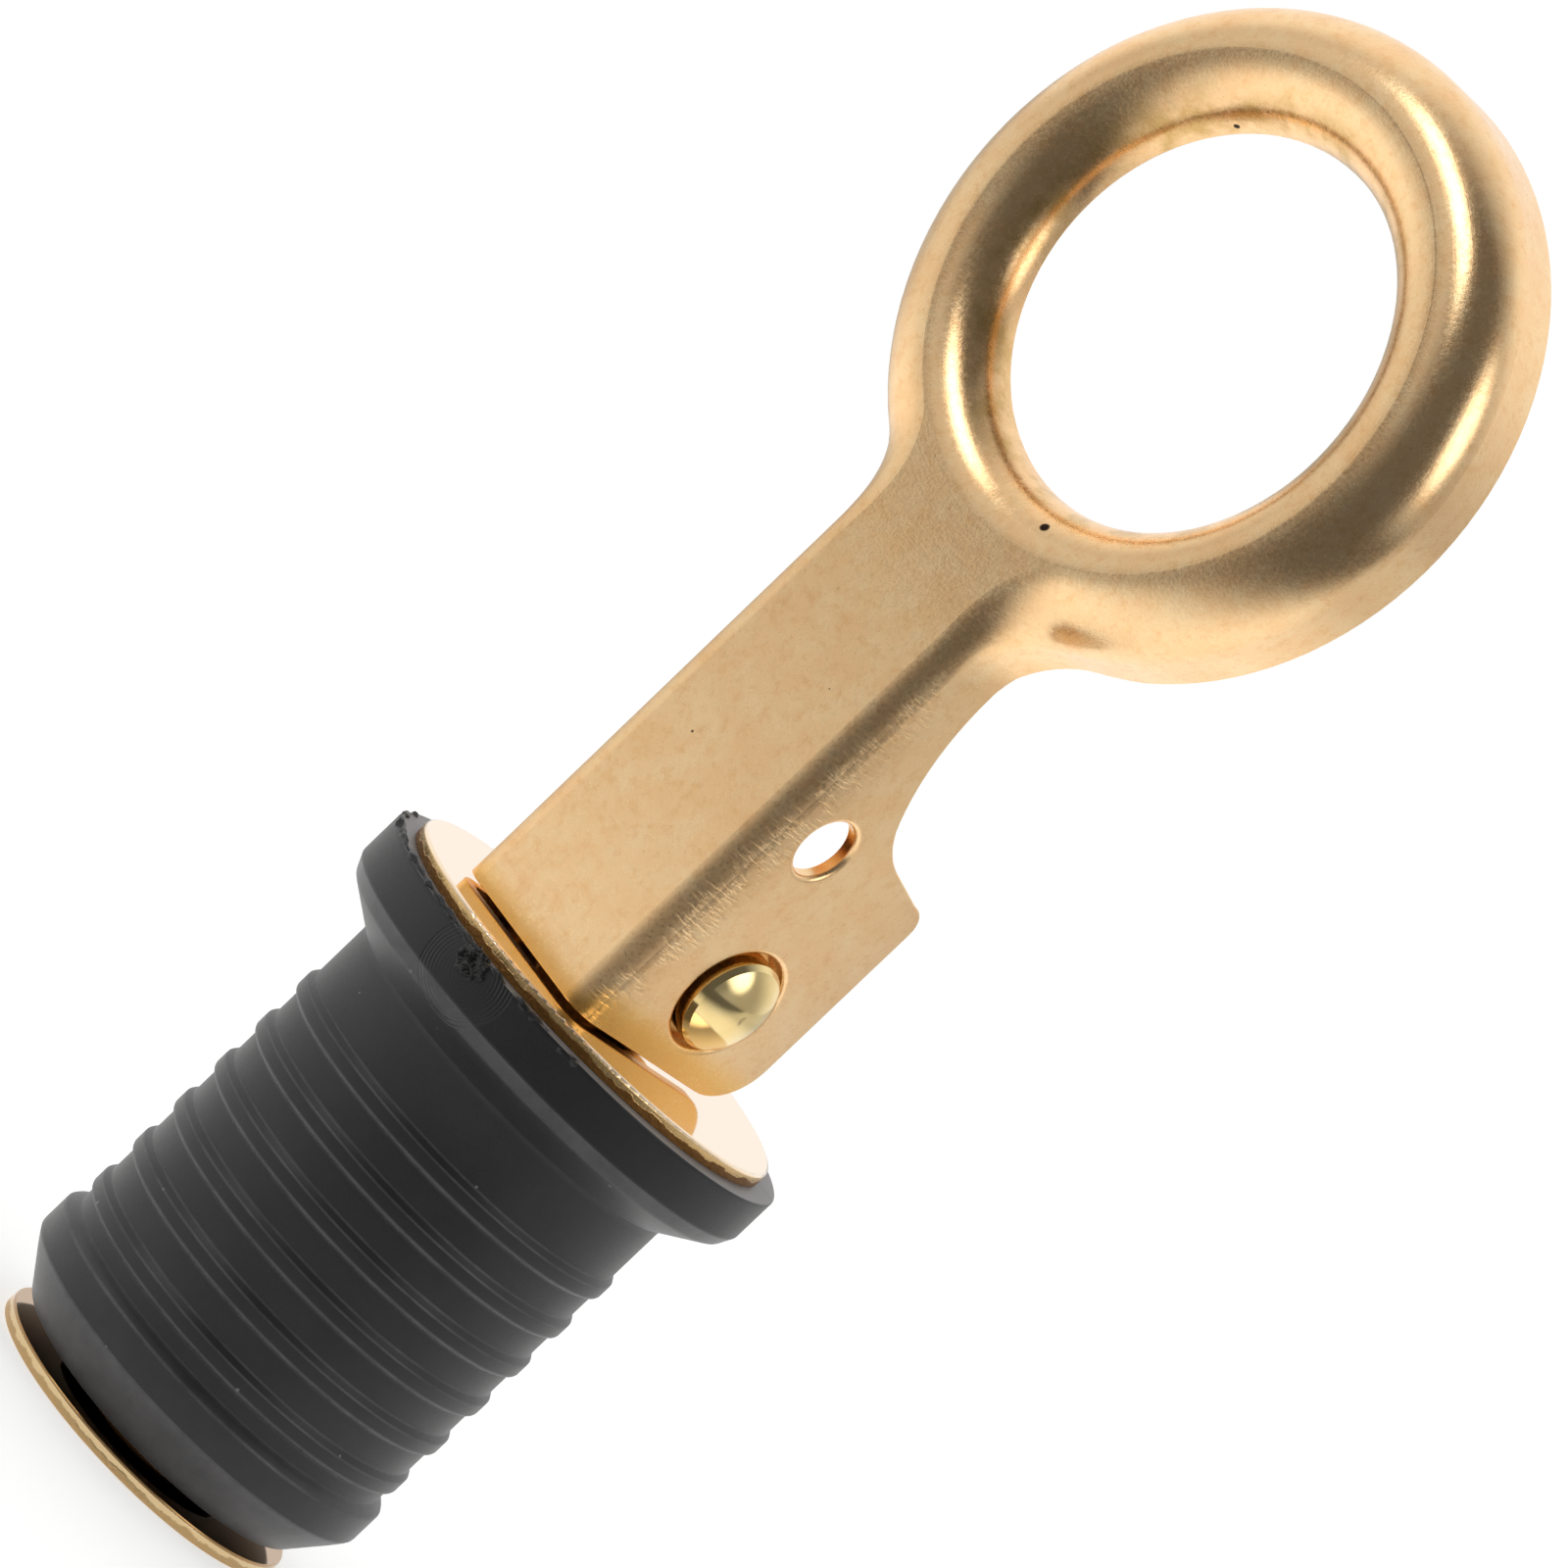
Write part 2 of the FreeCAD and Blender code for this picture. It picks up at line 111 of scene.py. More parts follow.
# sheet brass, blanked, drawn in a die and tumbled: a warm satin on the flats with small pits, glossier and finely
# streaked round the drawn ring, with a brown stain where the tumbling did not reach
pressedLook = {
    "colour": "#F9CE99",
    "warm": "#E9B377",
    "pale": "#FBD8A6",
    "foot": "#FFC24E",
    "footTop": 39.5,
    "footShare": 0.64,
    "footCheek": 1.2,
    "stain": "#B98E3C",
    "speck": "#2E2118",
    "mottleMm": 0.7,
    "webRoughness": 0.30,
    "ringRoughness": 0.235,
    "jitter": {"From Min": 0.3, "From Max": 0.7, "To Min": -0.05, "To Max": 0.06},
    "grainMm": 0.22,  # finer on the real sheet, drawn coarser so that it shows
    "grainDepth": 0.9,
    "grainOnRing": 0.8,
    "cloudMm": 2.4,
    "cloudFade": {"From Min": 0.38, "From Max": 0.66},
    "blushMm": 7.0,
    "blushFade": {"From Min": 0.5, "From Max": 0.8, "To Max": 0.25},
    "mottleFade": {"From Min": 0.5, "From Max": 0.72, "To Max": 0.55},
    "ringFade": {"From Min": 25.0, "From Max": 18.5},
    "streakMm": 0.17,
    "streakDepth": 1.1,
    "pitMm": 1.9,
    "pitFade": {"From Min": 0.075, "From Max": 0.03},
    "pitDepth": 0.5,
    "pitStain": 0.2,
    "markMm": 0.24,
    "markTurn": 24,
    "markDepth": 3.6,
    "markFade": {"From Min": 0.46, "From Max": 0.62},
    "markPatch": {"From Min": 0.38, "From Max": 0.50},
    "besideBend": {"From Min": -5.4, "From Max": -7.2},
    "onCheek": {"From Min": 5.7, "From Max": 6.4},
    "belowRing": {"From Min": 68.0, "From Max": 62.0},
    "holeRadius": 12.25,
    "stainReach": (2.6, 0.4),
    "stainFade": {"From Min": 0.43, "From Max": 0.62, "To Max": 0.6},
    "runOut": 0.28,
    "runOutEnd": -4.6,
    "bulge": 0.010,
    "bulgeBack": 3.0,
    "bendEnd": -8.2,
    "softFade": {"From Min": 72.0, "From Max": 54.0},
    "bumpStrength": 0.20,
    "bumpMm": 0.02,
    "specks": [(4.30, -8.87, 75.26, 0.30), (-8.35, -6.52, 97.89, 0.20),
               (-2.1, -9.3, 52.6, 0.08), (2.4, -9.3, 60.2, 0.05)],
}


def pressedBrass():
    look = pressedLook
    material, tree, place = startMaterial("pressedBrass")
    grain = addNode(tree, "ShaderNodeTexNoise", None,
                    {"Vector": place, "Scale": 1 / look["grainMm"], "Detail": 3.0, "Roughness": 0.65}).outputs[0]
    clouds = addNode(tree, "ShaderNodeTexNoise", None,
                     {"Vector": place, "Scale": 1 / look["cloudMm"], "Detail": 5.0, "Roughness": 0.6}).outputs[0]
    # polar place about the middle of the ring, for the streaks that the drawing left
    centred = addNode(tree, "ShaderNodeVectorMath", {"operation": "SUBTRACT"}, {0: place, 1: (0, 0, ringLevel)})
    split = addNode(tree, "ShaderNodeSeparateXYZ", None, {0: centred.outputs[0]})
    flatPlace = addNode(tree, "ShaderNodeVectorMath", {"operation": "MULTIPLY"},
                        {0: centred.outputs[0], 1: (1, 0, 1)})
    radius = addNode(tree, "ShaderNodeVectorMath", {"operation": "LENGTH"},
                     {0: flatPlace.outputs[0]}).outputs["Value"]
    angle = addNode(tree, "ShaderNodeMath", {"operation": "ARCTAN2"},
                    {0: split.outputs["X"], 1: split.outputs["Z"]})
    onRing = addNode(tree, "ShaderNodeMapRange", {"interpolation_type": "SMOOTHSTEP"},
                     {"Value": radius, **look["ringFade"]}).outputs[0]
    polar = addNode(tree, "ShaderNodeCombineXYZ", None,
                    {"X": radius, "Y": angle.outputs[0], "Z": split.outputs["Y"]})
    streakPlace = addNode(tree, "ShaderNodeMapping", None,
                          {"Vector": polar.outputs[0],
                           "Scale": (1 / look["streakMm"], 5.0, 0.5 / look["streakMm"])})
    streaks = addNode(tree, "ShaderNodeTexNoise", None,
                      {"Vector": streakPlace.outputs[0], "Scale": 1.0, "Detail": 3.0, "Roughness": 0.6}).outputs[0]
    # short rub marks that the folding die left beside the bend, across it
    markPlace = addNode(tree, "ShaderNodeMapping", None,
                        {"Vector": place, "Rotation": (math.radians(look["markTurn"]), 0, 0),
                         "Scale": (0.4, 0.9, 1 / look["markMm"])})
    marks = addNode(tree, "ShaderNodeTexNoise", None,
                    {"Vector": markPlace.outputs[0], "Scale": 1.0, "Detail": 2.0, "Roughness": 0.5}).outputs[0]
    apart = addNode(tree, "ShaderNodeSeparateXYZ", None, {0: place})
    besideBend = addNode(tree, "ShaderNodeMapRange", {"interpolation_type": "SMOOTHSTEP"},
                         {"Value": apart.outputs["Y"], **look["besideBend"]})
    outward = addNode(tree, "ShaderNodeMath", {"operation": "ABSOLUTE"}, {0: apart.outputs["X"]})
    onCheek = addNode(tree, "ShaderNodeMapRange", None, {"Value": outward.outputs[0], **look["onCheek"]})
    markThere = addNode(tree, "ShaderNodeMath", {"operation": "MULTIPLY"},
                        {0: besideBend.outputs[0], 1: onCheek.outputs[0]})
    markPatch = addNode(tree, "ShaderNodeMapRange", None, {"Value": clouds, **look["markPatch"]})
    belowRing = addNode(tree, "ShaderNodeMapRange", {"interpolation_type": "SMOOTHSTEP"},
                        {"Value": apart.outputs["Z"], **look["belowRing"]}).outputs[0]
    markArea = addNode(tree, "ShaderNodeMath", {"operation": "MULTIPLY"},
                       {0: markThere.outputs[0], 1: markPatch.outputs[0]})
    markArea = addNode(tree, "ShaderNodeMath", {"operation": "MULTIPLY"}, {0: markArea.outputs[0], 1: belowRing})
    markShare = addNode(tree, "ShaderNodeMapRange", None, {"Value": marks, **look["markFade"]})
    markDepth = addNode(tree, "ShaderNodeMath", {"operation": "MULTIPLY"},
                        {0: markArea.outputs[0], 1: markShare.outputs[0]}).outputs[0]
    # sparse pits in the flats
    cells = addNode(tree, "ShaderNodeTexVoronoi", None,
                    {"Vector": place, "Scale": 1 / look["pitMm"], "Randomness": 1.0})
    pit = addNode(tree, "ShaderNodeMapRange", None,
                  {"Value": cells.outputs["Distance"], **look["pitFade"]}).outputs[0]
    # colour: pale and warm clouds, the stain round the hole, the pits and the specks
    cloudShare = addNode(tree, "ShaderNodeMapRange", None, {"Value": clouds, **look["cloudFade"]})
    colour = addNode(tree, "ShaderNodeMix", {"data_type": "RGBA"},
                     {0: cloudShare.outputs[0], 6: linearColour(look["colour"]),
                      7: linearColour(look["pale"])}).outputs[2]
    blush = addNode(tree, "ShaderNodeTexNoise", None,
                    {"Vector": place, "Scale": 1 / look["blushMm"], "Detail": 3.0, "Roughness": 0.6})
    blushShare = addNode(tree, "ShaderNodeMapRange", None, {"Value": blush.outputs[0], **look["blushFade"]})
    colour = addNode(tree, "ShaderNodeMix", {"data_type": "RGBA"},
                     {0: blushShare.outputs[0], 6: colour, 7: linearColour(look["warm"])}).outputs[2]
    mottle = addNode(tree, "ShaderNodeTexNoise", None,
                     {"Vector": place, "Scale": 1 / look["mottleMm"], "Detail": 4.0, "Roughness": 0.7})
    mottleShare = addNode(tree, "ShaderNodeMapRange", None, {"Value": mottle.outputs[0], **look["mottleFade"]})
    colour = addNode(tree, "ShaderNodeMix", {"data_type": "RGBA"},
                     {0: mottleShare.outputs[0], 6: colour, 7: linearColour(look["warm"])}).outputs[2]
    # deeper gold at the foot, where the sheet and the washer light each other
    aboveFoot = addNode(tree, "ShaderNodeMath", {"operation": "MULTIPLY_ADD"},
                        {0: onCheek.outputs[0], 1: -look["footCheek"], 2: apart.outputs["Z"]})
    nearFoot = addNode(tree, "ShaderNodeMapRange", {"interpolation_type": "SMOOTHSTEP"},
                       {"Value": aboveFoot.outputs[0], "From Min": look["footTop"], "From Max": washerTop,
                        "To Max": look["footShare"]})
    colour = addNode(tree, "ShaderNodeMix", {"data_type": "RGBA"},
                     {0: nearFoot.outputs[0], 6: colour, 7: linearColour(look["foot"])}).outputs[2]
    stainStart, stainFull = [look["holeRadius"] + reach for reach in look["stainReach"]]
    nearHole = addNode(tree, "ShaderNodeMapRange", {"interpolation_type": "SMOOTHSTEP"},
                       {"Value": radius, "From Min": stainStart, "From Max": stainFull})
    stainPatch = addNode(tree, "ShaderNodeMapRange", None, {"Value": clouds, **look["stainFade"]})
    stainShare = addNode(tree, "ShaderNodeMath", {"operation": "MULTIPLY"},
                         {0: nearHole.outputs[0], 1: stainPatch.outputs[0]})
    colour = addNode(tree, "ShaderNodeMix", {"data_type": "RGBA"},
                     {0: stainShare.outputs[0], 6: colour, 7: linearColour(look["stain"])}).outputs[2]
    pitShade = addNode(tree, "ShaderNodeMath", {"operation": "MULTIPLY"}, {0: pit, 1: look["pitStain"]})
    colour = addNode(tree, "ShaderNodeMix", {"data_type": "RGBA"},
                     {0: pitShade.outputs[0], 6: colour, 7: linearColour(look["stain"])}).outputs[2]
    for left, front, level, wide in look["specks"]:
        away = addNode(tree, "ShaderNodeVectorMath", {"operation": "DISTANCE"},
                       {0: place, 1: (left, front, level)})
        speck = addNode(tree, "ShaderNodeMapRange", None,
                        {"Value": away.outputs["Value"], "From Min": wide * 1.15, "From Max": wide * 0.8})
        colour = addNode(tree, "ShaderNodeMix", {"data_type": "RGBA"},
                         {0: speck.outputs[0], 6: colour, 7: linearColour(look["speck"])}).outputs[2]
    # gloss and relief
    base = addNode(tree, "ShaderNodeMix", {"data_type": "FLOAT"},
                   {0: onRing, 2: look["webRoughness"], 3: look["ringRoughness"]})
    jitter = addNode(tree, "ShaderNodeMapRange", None, {"Value": grain, **look["jitter"]})
    rough = addNode(tree, "ShaderNodeMath", {"operation": "ADD"}, {0: base.outputs[0], 1: jitter.outputs[0]})
    ringStreak = addNode(tree, "ShaderNodeMath", {"operation": "MULTIPLY"}, {0: streaks, 1: onRing})
    coarser = addNode(tree, "ShaderNodeMath", {"operation": "MULTIPLY_ADD"},
                      {0: onRing, 1: look["grainOnRing"], 2: look["grainDepth"]})
    sanded = addNode(tree, "ShaderNodeMath", {"operation": "MULTIPLY"}, {0: grain, 1: coarser.outputs[0]})
    relief = addNode(tree, "ShaderNodeMath", {"operation": "MULTIPLY_ADD"},
                     {0: ringStreak.outputs[0], 1: look["streakDepth"], 2: sanded.outputs[0]})
    relief = addNode(tree, "ShaderNodeMath", {"operation": "MULTIPLY_ADD"},
                     {0: pit, 1: -look["pitDepth"], 2: relief.outputs[0]})
    relief = addNode(tree, "ShaderNodeMath", {"operation": "MULTIPLY_ADD"},
                     {0: markDepth, 1: look["markDepth"], 2: relief.outputs[0]})
    # the cheeks run softly out of the bend and bulge a little between their edges
    flatness = addNode(tree, "ShaderNodeMapRange", None,
                       {"Value": apart.outputs["Y"], "From Min": look["bendEnd"],
                        "From Max": look["runOutEnd"], "To Min": 1.0, "To Max": 0.0})
    curve = addNode(tree, "ShaderNodeMath", {"operation": "POWER"}, {0: flatness.outputs[0], 1: 2.0})
    curve = addNode(tree, "ShaderNodeMath", {"operation": "MULTIPLY"}, {0: curve.outputs[0], 1: look["runOut"]})
    held = addNode(tree, "ShaderNodeMath", {"operation": "MAXIMUM"},
                   {0: apart.outputs["Y"], 1: look["bendEnd"]})
    across = addNode(tree, "ShaderNodeMath", {"operation": "ADD"}, {0: held.outputs[0], 1: look["bulgeBack"]})
    square = addNode(tree, "ShaderNodeMath", {"operation": "MULTIPLY"},
                     {0: across.outputs[0], 1: across.outputs[0]})
    curve = addNode(tree, "ShaderNodeMath", {"operation": "MULTIPLY_ADD"},
                    {0: square.outputs[0], 1: look["bulge"], 2: curve.outputs[0]})
    # nothing of it at the bend itself, nor on the web
    atBend = look["runOut"] + look["bulge"] * (look["bendEnd"] + look["bulgeBack"]) ** 2
    curve = addNode(tree, "ShaderNodeMath", {"operation": "SUBTRACT"}, {0: curve.outputs[0], 1: atBend})
    fading = addNode(tree, "ShaderNodeMapRange", {"interpolation_type": "SMOOTHSTEP"},
                     {"Value": apart.outputs["Z"], **look["softFade"]})
    curve = addNode(tree, "ShaderNodeMath", {"operation": "MULTIPLY"},
                    {0: curve.outputs[0], 1: fading.outputs[0]})
    soft = addNode(tree, "ShaderNodeBump", {"invert": True},
                   {"Strength": 1.0, "Distance": mm, "Height": curve.outputs[0]})
    bump = addNode(tree, "ShaderNodeBump", None,
                   {"Strength": look["bumpStrength"], "Distance": look["bumpMm"] * mm,
                    "Height": relief.outputs[0], "Normal": soft.outputs[0]})
    shader = addNode(tree, "ShaderNodeBsdfPrincipled", None,
                     {"Base Color": colour, "Metallic": 1.0, "Roughness": rough.outputs[0],
                      "Normal": bump.outputs[0]})
    addNode(tree, "ShaderNodeOutputMaterial", None, {"Surface": shader.outputs[0]})
    return material


# brass wire headed into a rivet and buffed, a little greener and much glossier than the sheet, with hairline scratches
rivetLook = {
    "colour": "#F3DDA6",
    "deep": "#E6C884",
    "roughness": 0.10,
    "waveMm": 1.3,
    "scratchMm": 0.10,
    "scratchTurn": 35,
    "scratchDepth": 0.10,
    "bumpStrength": 0.16,
    "bumpMm": 0.035,
}


def buffedRivet():
    look = rivetLook
    material, tree, place = startMaterial("buffedRivet")
    wave = addNode(tree, "ShaderNodeTexNoise", None,
                   {"Vector": place, "Scale": 1 / look["waveMm"], "Detail": 2.0})
    scratchPlace = addNode(tree, "ShaderNodeMapping", None,
                           {"Vector": place, "Rotation": (math.radians(look["scratchTurn"]), 0, 0),
                            "Scale": (1.0, 0.5, 1 / look["scratchMm"])})
    scratches = addNode(tree, "ShaderNodeTexNoise", None,
                        {"Vector": scratchPlace.outputs[0], "Scale": 1.0, "Detail": 2.0})
    relief = addNode(tree, "ShaderNodeMath", {"operation": "MULTIPLY_ADD"},
                     {0: scratches.outputs[0], 1: look["scratchDepth"], 2: wave.outputs[0]})
    bump = addNode(tree, "ShaderNodeBump", None,
                   {"Strength": look["bumpStrength"], "Distance": look["bumpMm"] * mm,
                    "Height": relief.outputs[0]})
    colour = addNode(tree, "ShaderNodeMix", {"data_type": "RGBA"},
                     {0: wave.outputs[0], 6: linearColour(look["colour"]), 7: linearColour(look["deep"])})
    rough = addNode(tree, "ShaderNodeMapRange", None,
                    {"Value": scratches.outputs[0], "To Min": look["roughness"] - 0.02,
                     "To Max": look["roughness"] + 0.06})
    shader = addNode(tree, "ShaderNodeBsdfPrincipled", None,
                     {"Base Color": colour.outputs[2], "Metallic": 1.0, "Roughness": rough.outputs[0],
                      "Normal": bump.outputs[0]})
    addNode(tree, "ShaderNodeOutputMaterial", None, {"Surface": shader.outputs[0]})
    return material


# brass bar turned on a lathe and left as cut: fine rings round the shank, a plain gloss, and the fine thread at its end
turnedLook = {
    "colour": "#EFC98C",
    "dull": "#B98B4E",
    "roughness": 0.24,
    "feedMm": 0.16,
    "cutMm": 0.02,
    "handledMm": 2.5,
    "dullFade": {"From Min": 0.45, "From Max": 0.75, "To Max": 0.8},
    "pitchMm": 1.411,
    "threadMm": 0.3,
    "threadTop": 12.0,
}


def turnedBar():
    look = turnedLook
    material, tree, place = startMaterial("turnedBar")
    rings = addNode(tree, "ShaderNodeMapping", None,
                    {"Vector": place, "Scale": (0.05, 0.05, 1 / look["feedMm"])})
    cuts = addNode(tree, "ShaderNodeTexNoise", None,
                   {"Vector": rings.outputs[0], "Scale": 1.0, "Detail": 2.0, "Roughness": 0.5})
    handled = addNode(tree, "ShaderNodeTexNoise", None,
                      {"Vector": place, "Scale": 1 / look["handledMm"], "Detail": 4.0, "Roughness": 0.6})
    dullShare = addNode(tree, "ShaderNodeMapRange", None, {"Value": handled.outputs[0], **look["dullFade"]})
    colour = addNode(tree, "ShaderNodeMix", {"data_type": "RGBA"},
                     {0: dullShare.outputs[0], 6: linearColour(look["colour"]), 7: linearColour(look["dull"])})
    rough = addNode(tree, "ShaderNodeMapRange", None,
                    {"Value": handled.outputs[0], "To Min": look["roughness"] - 0.06,
                     "To Max": look["roughness"] + 0.14})
    bump = addNode(tree, "ShaderNodeBump", None,
                   {"Strength": 0.35, "Distance": look["cutMm"] * mm, "Height": cuts.outputs[0]})
    # the thread winds up by one pitch a turn
    split = addNode(tree, "ShaderNodeSeparateXYZ", None, {0: place})
    angle = addNode(tree, "ShaderNodeMath", {"operation": "ARCTAN2"},
                    {0: split.outputs["Y"], 1: split.outputs["X"]})
    phase = addNode(tree, "ShaderNodeMath", {"operation": "MULTIPLY_ADD"},
                    {0: split.outputs["Z"], 1: -2 * math.pi / look["pitchMm"], 2: angle.outputs[0]})
    wave = addNode(tree, "ShaderNodeMath", {"operation": "SINE"}, {0: phase.outputs[0]})
    threaded = addNode(tree, "ShaderNodeMapRange", None,
                       {"Value": split.outputs["Z"], "From Min": look["threadTop"] + 0.2,
                        "From Max": look["threadTop"]})
    thread = addNode(tree, "ShaderNodeMath", {"operation": "MULTIPLY"},
                     {0: wave.outputs[0], 1: threaded.outputs[0]})
    bump = addNode(tree, "ShaderNodeBump", None,
                   {"Strength": 1.0, "Distance": look["threadMm"] * mm, "Height": thread.outputs[0],
                    "Normal": bump.outputs[0]})
    shader = addNode(tree, "ShaderNodeBsdfPrincipled", None,
                     {"Base Color": colour.outputs[2], "Metallic": 1.0, "Roughness": rough.outputs[0],
                      "Normal": bump.outputs[0]})
    addNode(tree, "ShaderNodeOutputMaterial", None, {"Surface": shader.outputs[0]})
    return material


# blanked brass washer: the face is burnished by the punch, the rim is rolled over at the top, scored bright where the
# punch sheared it, and torn and brown below
washerLook = {
    # painted reflection: the upper face paled to cream, the lower face darkened for the black rubber it mirrors
    "upper": {"face": "#F6DFC2", "land": "#DFBB82", "torn": "#93693A"},
    "lower": {"face": "#A98458", "land": "#DCC193", "torn": "#C2A273"},
    "faceRoughness": 0.06,
    "landRoughness": 0.26,
    "tornRoughness": 0.46,
    "rollMm": 0.20,
    "landMm": 0.26,
    "raggedMm": 1.6,
    "raggedBy": 0.16,
    "rimStart": 0.3,
    "rimFull": 0.1,
    "scoreMm": 0.16,
    "tearMm": 0.34,
    "tearDepth": 3.0,
    "tornInset": 0.9,
    "bumpStrength": 0.6,
    "bumpMm": 0.05,
}


def blankedWasher(name, wide, high, colours):
    look = washerLook
    material, tree, place = startMaterial(name)
    split = addNode(tree, "ShaderNodeSeparateXYZ", None, {0: place})
    below = addNode(tree, "ShaderNodeMath", {"operation": "SUBTRACT"},
                    {0: high, 1: split.outputs["Z"]}).outputs[0]
    flatPlace = addNode(tree, "ShaderNodeVectorMath", {"operation": "MULTIPLY"}, {0: place, 1: (1, 1, 0)})
    radius = addNode(tree, "ShaderNodeVectorMath", {"operation": "LENGTH"},
                     {0: flatPlace.outputs[0]}).outputs["Value"]
    angle = addNode(tree, "ShaderNodeMath", {"operation": "ARCTAN2"},
                    {0: split.outputs["X"], 1: split.outputs["Y"]}).outputs[0]
    # unrolled rim: length round it and depth below the face
    along = addNode(tree, "ShaderNodeMath", {"operation": "MULTIPLY"}, {0: angle, 1: wide})
    unrolled = addNode(tree, "ShaderNodeCombineXYZ", None, {"X": along.outputs[0], "Y": below})
    scorePlace = addNode(tree, "ShaderNodeMapping", None,
                         {"Vector": unrolled.outputs[0], "Scale": (1 / look["scoreMm"], 0.8, 1.0)})
    scores = addNode(tree, "ShaderNodeTexNoise", None,
                     {"Vector": scorePlace.outputs[0], "Scale": 1.0, "Detail": 2.0, "Roughness": 0.5}).outputs[0]
    tears = addNode(tree, "ShaderNodeTexNoise", None,
                    {"Vector": place, "Scale": 1 / look["tearMm"], "Detail": 4.0, "Roughness": 0.7}).outputs[0]
    ragged = addNode(tree, "ShaderNodeTexNoise", None,
                     {"Vector": place, "Scale": 1 / look["raggedMm"], "Detail": 3.0, "Roughness": 0.6}).outputs[0]
    edge = addNode(tree, "ShaderNodeMapRange", None,
                   {"Value": ragged, "From Min": 0.3, "From Max": 0.7,
                    "To Min": look["rollMm"] + look["landMm"] - look["raggedBy"],
                    "To Max": look["rollMm"] + look["landMm"] + look["raggedBy"]}).outputs[0]
    onRim = addNode(tree, "ShaderNodeMapRange", None,
                    {"Value": radius, "From Min": wide - look["rimStart"],
                     "From Max": wide - look["rimFull"]}).outputs[0]
    pastRoll = addNode(tree, "ShaderNodeMapRange", None,
                       {"Value": below, "From Min": look["rollMm"] * 0.7, "From Max": look["rollMm"]}).outputs[0]
    landShare = addNode(tree, "ShaderNodeMath", {"operation": "MULTIPLY"}, {0: onRim, 1: pastRoll}).outputs[0]
    pastLand = addNode(tree, "ShaderNodeMath", {"operation": "SUBTRACT"}, {0: below, 1: edge}).outputs[0]
    tornStep = addNode(tree, "ShaderNodeMapRange", None,
                       {"Value": pastLand, "From Min": -0.02, "From Max": 0.05}).outputs[0]
    tornShare = addNode(tree, "ShaderNodeMath", {"operation": "MULTIPLY"}, {0: onRim, 1: tornStep}).outputs[0]
    colour = addNode(tree, "ShaderNodeMix", {"data_type": "RGBA"},
                     {0: landShare, 6: linearColour(colours["face"]), 7: linearColour(colours["land"])}).outputs[2]
    colour = addNode(tree, "ShaderNodeMix", {"data_type": "RGBA"},
                     {0: tornShare, 6: colour, 7: linearColour(colours["torn"])}).outputs[2]
    rough = addNode(tree, "ShaderNodeMix", {"data_type": "FLOAT"},
                    {0: landShare, 2: look["faceRoughness"], 3: look["landRoughness"]}).outputs[0]
    rough = addNode(tree, "ShaderNodeMix", {"data_type": "FLOAT"},
                    {0: tornShare, 2: rough, 3: look["tornRoughness"]}).outputs[0]
    scored = addNode(tree, "ShaderNodeMath", {"operation": "MULTIPLY"}, {0: scores, 1: landShare})
    torn = addNode(tree, "ShaderNodeMath", {"operation": "MULTIPLY"}, {0: tears, 1: tornShare})
    relief = addNode(tree, "ShaderNodeMath", {"operation": "MULTIPLY_ADD"},
                     {0: torn.outputs[0], 1: look["tearDepth"], 2: scored.outputs[0]})
    relief = addNode(tree, "ShaderNodeMath", {"operation": "MULTIPLY_ADD"},
                     {0: tornShare, 1: -look["tornInset"], 2: relief.outputs[0]})
    bump = addNode(tree, "ShaderNodeBump", None,
                   {"Strength": look["bumpStrength"], "Distance": look["bumpMm"] * mm,
                    "Height": relief.outputs[0]})
    shader = addNode(tree, "ShaderNodeBsdfPrincipled", None,
                     {"Base Color": colour, "Metallic": 1.0, "Roughness": rough, "Normal": bump.outputs[0]})
    addNode(tree, "ShaderNodeOutputMaterial", None, {"Surface": shader.outputs[0]})
    return material


# nitrile rubber moulded in a turned steel die: deep matte black, greyer along its edges where a painted
# highlight and rubbed wear pale it, with the rings and the torn stub of the gate on the side of the flange
rubberLook = {
    "colour": "#171718",
    "dusty": "#242425",
    "wearAndHighlight": "#6E6C6D",
    "torn": "#120F0E",
    "specular": 0.42,
    "sheen": 0.30,
    "roughness": 0.42,
    "fineMm": 0.16,
    "smudgeMm": 6.0,
    "smudgeFade": {"From Min": 0.4, "From Max": 0.75},
    "patchMm": 2.4,
    "wearAndHighlightFade": {"From Min": 0.3, "From Max": 0.62, "To Min": 0.45, "To Max": 1.0},
    "dust": "#8A8886",
    "dustMm": 3.1,
    "dustFade": {"From Min": 0.042, "From Max": 0.03, "To Max": 0.7},
    "gate": (3.40, -15.02, 35.06),
    "gateRadius": 3.15,
    "gateRingMm": 0.24,
    "gateDepth": 4.0,
    "ringDepth": 2.4,
    "ringFade": {"From Min": 1.6, "From Max": 2.5, "To Min": 0.12, "To Max": 1.0},
    "ringBreaks": {"From Min": 0.38, "From Max": 0.55, "To Min": 0.15, "To Max": 1.0},
    "bumpStrength": 0.4,
    "bumpMm": 0.02,
}


